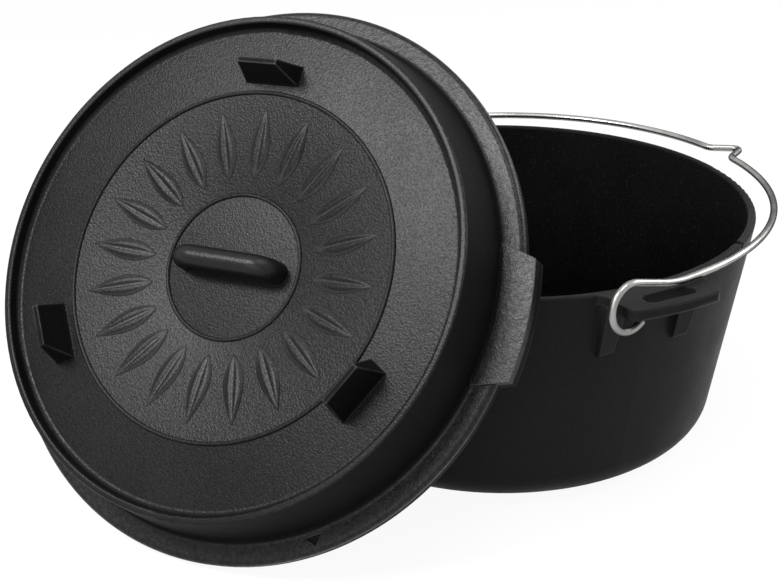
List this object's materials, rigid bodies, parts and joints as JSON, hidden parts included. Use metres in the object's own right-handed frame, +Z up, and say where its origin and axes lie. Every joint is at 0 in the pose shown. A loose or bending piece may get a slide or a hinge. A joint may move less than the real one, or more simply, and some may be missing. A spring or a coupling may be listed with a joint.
{
  "type": "camp dutch oven",
  "caption": "Cast-iron camp pot with slotted ears, a flat-topped lid with loop, feet and grip tabs leaning on it, and a swinging wire bail with hooked ends.",
  "frame": {"origin": "middle of the pot's flat underside, on the ground", "axes": "+Z up, out of the pot's mouth; +X through the near ear; +Y towards the bow of the bail as it lies at rest"},
  "size_m": [0.3612, 0.4814, 0.2634],
  "materials": {
    "pot_iron": "seasoned black, fine sand-cast grain, satin",
    "lid_iron": "seasoned dark grey, coarser sand-cast grain, satin",
    "bail_wire": "drawn wire, semi-bright"
  },
  "bodies": {
    "pot": {"pot": "pot_iron"},
    "lid": {"lid": "lid_iron"},
    "bail": {"bail": "bail_wire"}
  },
  "joints": [
    {"name": "bail_swing", "type": "hinge", "parent": "pot", "child": "bail", "pos_m": [0, -0.02425, 0.134], "axis": [1, 0, 0], "range_deg": [0, 95]},
    {"name": "lid_lift", "type": "slide", "parent": "pot", "child": "lid", "axis": [0, 0, 1], "range_m": [0, 0.3]}
  ]
}
